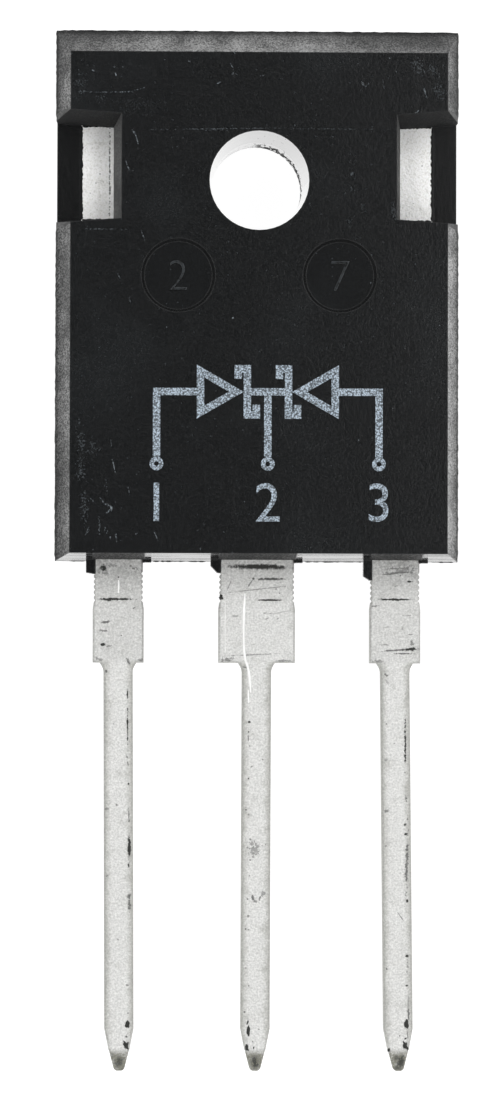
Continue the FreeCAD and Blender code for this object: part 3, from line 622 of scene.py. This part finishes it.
def makeLaserPrint():
    # Moulding that a laser has bleached dot by dot, so that some of the black shows through.
    material, shader, point = startMaterial("laserPrint")
    dots = addValue("TexVoronoi", "Distance", {"Vector": point, "Scale": 15.0})
    lit = ramp(dots, 0.68, 0.36, 0.15, 1.0)
    patch = ramp(addNoise(point, 0.1, 3.0, 0.65), 0.36, 0.52, 0.3, 1.0)
    colour = blendColours(lit * patch, (0.03, 0.035, 0.04, 1), (0.53, 0.63, 0.73, 1))
    link(colour, shader, "Base Color")
    link(ramp(patch, 0.0, 1.0, 0.45, 0.8), shader, "Roughness")
    addBump(shader, lit, 0.3, 0.00001)
    return material


def makePlain(name, base, spots, size, low, high, metallic, bumpDepth):
    # A finish of two colours in soft grain, for the parts inside the moulding and for dirt.
    material, shader, point = startMaterial(name)
    fine = addNoise(point, size, 4.0, 0.6)
    broad = addNoise(point, size * 6, 2.0)
    colour = blendColours(ramp(fine, 0.35, 0.65), base, spots)
    link(blendColours(ramp(broad, 0.4, 0.7, 0.0, 0.4), colour, spots), shader, "Base Color")
    link(ramp(fine, 0.3, 0.7, low, high), shader, "Roughness")
    shader.inputs["Metallic"].default_value = metallic
    addBump(shader, fine, 0.5, bumpDepth)
    return material


mouldCompound = makeMouldCompound()
pitch = mouldPlaces["leadPitch"]
leftTin = makeTinPlate("tinPlateLeft", leftMarks, -pitch, 0.085, 0.10)
middleTin = makeTinPlate("tinPlateMiddle", middleMarks + notchMarks, 0.0, -0.03, 0.01)
rightTin = makeTinPlate("tinPlateRight", rightMarks, pitch, 0.165, 0.07)
glintRidgeTin = makeBrightTin()
laserPrint = makeLaserPrint()
silicon = makePlain("silicon", (0.035, 0.038, 0.045, 1), (0.06, 0.062, 0.07, 1), 0.04, 0.2, 0.35, 0.3,
                    0.000002)
solder = makePlain("solder", (0.42, 0.42, 0.41, 1), (0.58, 0.57, 0.55, 1), 0.05, 0.35, 0.5, 1.0, 0.000006)
bondAluminium = makePlain("bondAluminium", (0.86, 0.87, 0.88, 1), (0.74, 0.75, 0.77, 1), 0.03, 0.28, 0.4,
                          1.0, 0.000003)
grime = makePlain("grime", (0.010, 0.011, 0.010, 1), (0.03, 0.032, 0.027, 1), 0.05, 0.5, 0.8, 0.0, 0.00001)

# The finish of each solid, by how its name begins.
nodeFinish = {
    "moulded_body": mouldCompound, "heat_sink_tab": middleTin, "anode_lead_1": leftTin,
    "anode_lead_2": rightTin, "diode_die": silicon, "die_solder": solder, "bond_wire": bondAluminium,
}
for nodeName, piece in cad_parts.items():
    piece.data.materials.clear()
    piece.data.materials.append(next(nodeFinish[start] for start in nodeFinish if nodeName.startswith(start)))


# Helpers for shapes.
def pickPiece(piece):
    bpy.ops.object.select_all(action="DESELECT")
    piece.select_set(True)
    bpy.context.view_layer.objects.active = piece


def addObject(name, data):
    made = bpy.data.objects.new(name, data)
    bpy.context.scene.collection.objects.link(made)
    return made


def startEdit(piece, kind="VERT", chosen="SELECT"):
    pickPiece(piece)
    bpy.ops.object.mode_set(mode="EDIT")
    bpy.ops.mesh.select_mode(type=kind)
    bpy.ops.mesh.select_all(action=chosen)
    return bmesh.from_edit_mesh(piece.data)


def endEdit():
    bpy.ops.object.mode_set(mode="OBJECT")


def thicken(piece, height):
    # Gives a flat piece its thickness upwards and turns its faces outwards.
    startEdit(piece, "FACE")
    bpy.ops.mesh.extrude_region_move(TRANSFORM_OT_translate={"value": (0, 0, height)})
    bpy.ops.mesh.select_all(action="SELECT")
    bpy.ops.mesh.normals_make_consistent(inside=False)
    endEdit()


def applyPlace(piece):
    pickPiece(piece)
    bpy.ops.object.transform_apply(location=True, rotation=True, scale=True)


def finishPiece(piece, name, material):
    piece.name = name
    piece.data.name = name
    piece.data.materials.clear()
    piece.data.materials.append(material)
    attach(piece, "root")


def makeRaggedStrip(name, start, end, settings, seed):
    # Thin flash along a line. Its free edge, to the left of the way from start to end, is ragged.
    draw = random.Random(seed)
    bpy.ops.mesh.primitive_plane_add(size=1, location=(0, 0, 0))
    strip = bpy.context.object
    run = Vector(end) - Vector(start)
    steps = max(4, round(run.length / settings["pitch"]))
    mesh = startEdit(strip, "EDGE", "DESELECT")
    for line in mesh.edges:
        line.select = abs(line.verts[0].co.y - line.verts[1].co.y) < 0.1
    bpy.ops.mesh.subdivide(number_cuts=steps - 1)
    mesh = bmesh.from_edit_mesh(strip.data)
    ahead = run.normalized()
    left = Vector((-ahead.y, ahead.x, 0))
    for spot in sorted(mesh.verts, key=lambda corner: (corner.co.x, corner.co.y)):
        share = spot.co.x + 0.5
        out = -settings["root"]
        if spot.co.y > 0:
            out = settings["low"] + (settings["high"] - settings["low"]) * draw.random() ** settings["sharp"]
            if share < 0.01 or share > 0.99:      # the strip's own ends
                out = 0.0
        spot.co = (Vector(start) + run * share + left * out) * mm
        spot.co.z = settings["level"] * mm
    bmesh.update_edit_mesh(strip.data)
    endEdit()
    thicken(strip, settings["thickness"] * mm)
    finishPiece(strip, name, mouldCompound)


print("laser print")
printing = {
    "level": 5.02,
    "thickness": 0.006,
    "stroke": 0.29,
    "centre": 0.35,     # a little right of the middle, as the print was set
    "lineUp": -8.3,
    "footings": -10.85,
    "reach": 4.35,
    "triangle": 1.22,
    "diodeFrom": 0.95,  # from the middle to the point of each diode
    "barReach": 1.05,
    "hook": 0.5,
    "hookDrop": 0.4,
    "ring": 0.27,
    "ringSides": 28,
    "ringStroke": 0.6,  # of the other strokes
    "numberUp": -12.62,
    "height": 1.5,      # of the numbers
    "thin": 0.0,
}


def addBar(start, end):
    # A flat stroke between two places.
    run = Vector(end) - Vector(start)
    middle = (Vector(start) + Vector(end)) / 2
    place = (middle.x * mm, middle.y * mm, printing["level"] * mm)
    bpy.ops.mesh.primitive_plane_add(size=1, location=place, rotation=(0, 0, math.atan2(run.y, run.x)))
    bar = bpy.context.object
    bar.scale = (run.length * mm, printing["stroke"] * mm, 1)
    applyPlace(bar)
    return bar


def addFrame(spot, radius, sides, turn, width):
    # A flat outline: a triangle, or a ring when it has many sides.
    place = (spot[0] * mm, spot[1] * mm, printing["level"] * mm)
    bpy.ops.mesh.primitive_circle_add(vertices=sides, radius=radius * mm, fill_type="NGON",
                                      location=place, rotation=(0, 0, turn))
    outline = bpy.context.object
    applyPlace(outline)
    startEdit(outline, "FACE")
    bpy.ops.mesh.inset(thickness=width * mm, use_even_offset=True)
    bpy.ops.mesh.delete(type="FACE")
    endEdit()
    return outline


def addDiode(side):
    # One diode, its point towards the middle, and the hooked bar of a Schottky junction.
    look = printing
    width, up, size, tall = look["stroke"], look["lineUp"], look["triangle"], look["barReach"]
    inner = look["centre"] + side * look["diodeFrom"]
    bar = inner - side * width / 2
    strokes = [addFrame((inner + side * size, up), size, 3, math.radians(90 * side), width),
               addBar((bar, up - tall), (bar, up + tall))]
    for end, way in ((1, -1), (-1, 1)):
        tip = up + end * (tall - width / 2)
        hook = bar + way * (look["hook"] - width / 2)
        strokes += [addBar((bar + way * width / 2, tip), (bar + way * look["hook"], tip)),
                    addBar((hook, tip - end * width / 2), (hook, tip - end * look["hookDrop"]))]
    return strokes


def makeSymbol():
    # The plain circuit symbol of two diodes that share a cathode, with a foot for each lead.
    look = printing
    width, middle, up, down = look["stroke"], look["centre"], look["lineUp"], look["footings"]
    strokes = [addBar((middle, up - width / 2), (middle, down))]
    for side in (-1, 1):
        strokes += addDiode(side)
        inner, foot = middle + side * look["diodeFrom"], middle + side * look["reach"]
        back = inner + side * 1.5 * look["triangle"]
        strokes += [addBar((middle, up), (inner - side * width, up)),
                    addBar((back, up), (foot - side * width / 2, up)),
                    addBar((foot, up + width / 2), (foot, down))]
    for foot in (middle - look["reach"], middle, middle + look["reach"]):
        strokes.append(addFrame((foot, down - look["ring"]), look["ring"], look["ringSides"], 0,
                                width * look["ringStroke"]))
    symbol = strokes[0]
    pickPiece(symbol)
    for stroke in strokes:
        stroke.select_set(True)
    bpy.ops.object.join()
    thicken(symbol, look["thickness"] * mm)
    finishPiece(symbol, "laser_symbol", laserPrint)


def makeNumber(name, text, spot, settings, material):
    # A plain number, standing on a level.
    height, thickness = settings["height"], settings["thickness"]
    bpy.ops.object.text_add(location=(0, 0, 0))
    number = bpy.context.object
    number.data.body = text
    number.data.align_x = "CENTER"
    number.data.align_y = "CENTER"
    number.data.resolution_u = 8
    number.data.offset = settings["thin"]
    number.data.extrude = thickness / 2 / height
    bpy.ops.object.convert(target="MESH")
    number = bpy.context.object
    tall = number.dimensions.y
    number.scale = (height * mm / tall, height * mm / tall, height * mm)
    number.location = (spot[0] * mm, spot[1] * mm, (settings["level"] + thickness / 2) * mm)
    applyPlace(number)
    heights = [corner.co.y for corner in number.data.vertices]
    number.location.y = spot[1] * mm - (min(heights) + max(heights)) / 2
    applyPlace(number)
    startEdit(number)
    bpy.ops.mesh.remove_doubles(threshold=0.000001)
    bpy.ops.mesh.normals_make_consistent(inside=False)
    endEdit()
    finishPiece(number, name, material)


makeSymbol()
for index, side in enumerate((-1, 0, 1)):
    spot = (printing["centre"] + side * printing["reach"], printing["numberUp"])
    makeNumber(f"laser_number_{index + 1}", str(index + 1), spot, printing, laserPrint)

print("numbers raised in the round recesses")
recess = {"across": 3.165, "up": -3.735, "level": 4.82, "thickness": 0.035, "height": 1.18, "thin": -0.018}
for name, text, side in (("recess_number_left", "2", -1), ("recess_number_right", "7", 1)):
    makeNumber(name, text, (side * recess["across"], recess["up"]), recess, mouldCompound)

print("flash along the parting line")
seam = {
    "level": 2.385, "thickness": 0.05, "root": 0.05,
    "low": 0.012, "high": 0.034, "sharp": 1.5, "pitch": 0.12,
}
frayed = {
    "level": 2.38, "thickness": 0.06, "root": 0.06,
    "low": 0.0, "high": 0.03, "sharp": 1.0, "pitch": 0.1,
}
body = {"side": 7.95, "top": 6.15, "bottom": -14.85, "notchLow": -1.6, "notchHigh": 2.7}
side, top, bottom = body["side"], body["top"], body["bottom"]
runs = [
    ("seam_flash_left_low", (-side, bottom, 0), (-side, body["notchLow"], 0), seam),
    ("seam_flash_left_high", (-side, body["notchHigh"], 0), (-side, top, 0), seam),
    ("seam_flash_right_high", (side, top, 0), (side, body["notchHigh"], 0), seam),
    ("seam_flash_right_low", (side, body["notchLow"], 0), (side, bottom, 0), seam),
    ("seam_flash_top", (-side, top, 0), (side, top, 0), seam),
    ("seam_flash_bottom_1", (-6.75, bottom, 0), (-7.4, bottom, 0), frayed),
    ("seam_flash_bottom_2", (-2.0, bottom, 0), (-4.1, bottom, 0), frayed),
    ("seam_flash_bottom_3", (4.2, bottom, 0), (1.9, bottom, 0), frayed),
    ("seam_flash_bottom_4", (7.8, bottom, 0), (6.9, bottom, 0), frayed),
]
for seed, (name, start, end, settings) in enumerate(runs, start=11):
    makeRaggedStrip(name, start, end, settings, seed)

print("film of resin over the edges of the bare tab")
film = {
    "level": 1.995, "thickness": 0.02, "root": 0.1,
    "low": 0.0, "high": 0.055, "sharp": 1.0, "pitch": 0.065,
}
bare = {"inner": 5.70, "outer": 6.93, "low": -1.30, "high": 2.40}
for side, word in ((-1, "left"), (1, "right")):
    inner, outer, low, high = side * bare["inner"], side * bare["outer"], bare["low"], bare["high"]
    corners = [(inner, low, 0), (outer, low, 0), (outer, high, 0), (inner, high, 0)]
    if side < 0:
        corners.reverse()
    for index in range(3):
        makeRaggedStrip(f"resin_film_{word}_{index + 1}", corners[index], corners[index + 1], film,
                        40 + 3 * side + index)

# Crumbs of dirt, and low ridges of brighter tin that paint the glints on the leads.
print("crumbs of dirt and burnished lines")
crumbLook = {
    "level": 3.01,
    "height": 0.05,
    "flattened": -0.3,  # the underside, in shares of the radius
    "lobes": 5,
    "swell": 0.07,
}


def makeCrumb(name, x, y, halfWidth, halfHeight, turn, seed):
    # A flattened, uneven lump that sits on a lead.
    look = crumbLook
    draw = random.Random(seed)
    bpy.ops.mesh.primitive_ico_sphere_add(subdivisions=3, radius=mm, location=(0, 0, 0))
    crumb = bpy.context.object
    mesh = startEdit(crumb)
    tilt = [draw.uniform(0.75, 1.25) for _ in range(7)]
    for corner in mesh.verts:
        around = math.atan2(corner.co.y, corner.co.x)
        lobes = sum(tilt[i] * math.sin((i + 2) * around + 5 * tilt[i]) for i in range(look["lobes"]))
        swell = 1 + look["swell"] * lobes
        corner.co.x *= swell
        corner.co.y *= swell * (1 + 0.2 * math.sin(3 * around + tilt[5] * 4))
        lumps = 1 + 0.25 * math.sin(9 * corner.co.x / mm + 7 * corner.co.y / mm)
        corner.co.z = max(corner.co.z, look["flattened"] * mm) * lumps
    bmesh.update_edit_mesh(crumb.data)
    endEdit()
    crumb.scale = (halfWidth, halfHeight, look["height"])
    crumb.rotation_euler = (0, 0, math.radians(turn))
    crumb.location = (x * mm, y * mm, look["level"] * mm)
    applyPlace(crumb)
    bpy.ops.object.shade_smooth()
    finishPiece(crumb, name, grime)


crumbs = [
    # x, y, half width, half height, turn
    (-5.05, -33.06, 0.085, 0.14, 0), (-5.11, -33.87, 0.07, 0.17, 28),
    (-0.29, -33.31, 0.065, 0.20, -4), (-0.35, -33.96, 0.06, 0.13, 14),
    (5.92, -33.03, 0.09, 0.17, 10), (5.88, -33.88, 0.07, 0.17, 30), (5.22, -34.05, 0.05, 0.07, -20),
    (-1.41, -16.28, 0.085, 0.10, 20),
]
for index, row in enumerate(crumbs):
    makeCrumb(f"dirt_crumb_{index + 1}", *row, 70 + index)

ridgeLook = {"height": 0.03, "level": 3.008}


def makeRidge(name, points, width):
    # A low ridge of brighter tin, a painted glint, drawn as a round line and pressed flat.
    line = bpy.data.curves.new(name, "CURVE")
    line.dimensions = "3D"
    line.bevel_depth = width / 2 * mm
    line.bevel_resolution = 3
    line.use_fill_caps = True
    spline = line.splines.new("NURBS")
    spline.points.add(len(points) - 1)
    for point, (x, y, thick) in zip(spline.points, points):
        point.co = (x * mm, y * mm, 0, 1)
        point.radius = thick
    spline.order_u = 3
    spline.use_endpoint_u = True
    pickPiece(addObject(name, line))
    bpy.ops.object.convert(target="MESH")
    ridge = bpy.context.object
    ridge.scale = (1, 1, ridgeLook["height"] / width * 2)
    ridge.location = (0, 0, ridgeLook["level"] * mm)
    applyPlace(ridge)
    bpy.ops.object.shade_smooth()
    finishPiece(ridge, name, glintRidgeTin)


# Where the leads show glints, painted as low ridges of brighter tin.
ridges = {
    # width, and then rows of x, y and a share of the width
    "glint_ridge_middle": (0.12, [
        (-0.47, -16.12, 0.55), (-0.49, -16.54, 1.0), (-0.52, -17.25, 0.9), (-0.51, -17.96, 0.7),
        (-0.50, -18.43, 0.8), (-0.43, -18.78, 0.9), (-0.33, -19.06, 0.8), (-0.27, -19.53, 1.1),
        (-0.23, -20.02, 0.5),
    ]),
    "glint_ridge_middle_edge": (0.05, [
        (-1.25, -16.30, 0.5), (-1.24, -16.97, 0.8), (-1.25, -17.64, 0.8), (-1.24, -18.39, 0.5),
    ]),
    "glint_ridge_left": (0.09, [(-5.44, -15.61, 0.5), (-5.43, -15.81, 1.0), (-5.45, -16.12, 0.6)]),
    "glint_ridge_pin": (0.09, [(-0.33, -19.92, 0.4), (-0.32, -20.20, 1.0), (-0.31, -20.43, 0.5)]),
}
for name, (width, points) in ridges.items():
    makeRidge(name, points, width)


print("stage, lamps and camera")
stageLook = {
    "size": 3.0,
    "drop": 0.02,             # below the heat sink, in millimetres
    "shown": 0.96,
    "albedo": (0.22, 0.22, 0.22, 1),
    "plain": 0.22,            # the level of the surroundings
    "overhead": 0.05,         # what gloss sees straight above
    "horizon": (0.35, 0.75),  # where the surroundings turn dark
}


def findShown():
    # 1 for what is seen, straight, in gloss or through clear matter, and 0 for the light on other pieces.
    seen = named(addNode("LightPath").outputs)
    return largest(seen["Is Camera Ray"], seen["Is Glossy Ray"], seen["Is Transmission Ray"])


bpy.ops.mesh.primitive_plane_add(size=stageLook["size"], location=(0, 0, -stageLook["drop"] * mm))
floor = bpy.context.object
floor.name = "floor"
floorPaint = bpy.data.materials.new("floorPaint")
floorPaint.use_nodes = True
tree = floorPaint.node_tree
tree.nodes.clear()
glow = addValue("Emission", 0, {"Color": (1, 1, 1, 1), "Strength": findShown() * stageLook["shown"]})
paint = addValue("BsdfDiffuse", 0, {"Color": stageLook["albedo"]})
addNode("OutputMaterial", {"Surface": addValue("AddShader", 0, {0: glow, 1: paint})})
floor.data.materials.append(floorPaint)

# The surroundings are plain, but seen straight or in gloss they are white low down and dark overhead.
world = bpy.data.worlds.new("surroundings")
bpy.context.scene.world = world
world.use_nodes = True
tree = world.node_tree
tree.nodes.clear()
up = separate(addValue("TexCoord", "Generated"))[2]
level = ramp(up, *stageLook["horizon"], 1.0, stageLook["overhead"])
strength = ramp(findShown(), 0.0, 1.0, stageLook["plain"], level)
sky = addValue("Background", 0, {"Color": (1, 1, 1, 1), "Strength": strength})
addNode("OutputWorld", {"Surface": sky})

lamps = [
    # name, bearing from +X, height above the floor in degrees, distance, width, length, watts
    ("softbox_left", 180, 64, 0.42, 0.42, 0.20, 0.50),
    ("softbox_right", 0, 64, 0.42, 0.42, 0.20, 0.62),
    ("softbox_far", 90, 55, 0.45, 0.45, 0.20, 0.36),
    ("softbox_near", -90, 62, 0.45, 0.36, 0.20, 0.30),
]
aim = Vector((0, -14 * mm, 0))
for name, bearing, rise, away, width, length, watts in lamps:
    data = bpy.data.lights.new(name, "AREA")
    data.shape = "RECTANGLE"
    data.size, data.size_y = width, length
    data.energy = watts
    lamp = addObject(name, data)
    bearing, rise = math.radians(bearing), math.radians(rise)
    back = Vector((math.cos(bearing) * math.cos(rise), math.sin(bearing) * math.cos(rise), math.sin(rise)))
    lamp.location = aim + back * away
    lamp.rotation_euler = (-back).to_track_quat("-Z", "Y").to_euler()
    lamp.visible_camera = False

cameraPlace = {
    "location": (-0.0079, -0.02391, 0.24482),
    "turn": (-2.25, 1.81, -0.21),      # degrees
    "lens": 201.24,
}
data = bpy.data.cameras.new("camera")
camera = addObject("camera", data)
data.sensor_fit = "VERTICAL"
data.sensor_width = data.sensor_height = 36
data.lens = cameraPlace["lens"]
data.clip_start, data.clip_end = 0.01, 10
data.dof.use_dof = False
turn = Euler([math.radians(angle) for angle in cameraPlace["turn"]], "XYZ")
camera.location = cameraPlace["location"]
camera.rotation_euler = turn.to_matrix().transposed().to_euler()
bpy.context.scene.camera = camera
bpy.context.scene.view_settings.view_transform = "Standard"
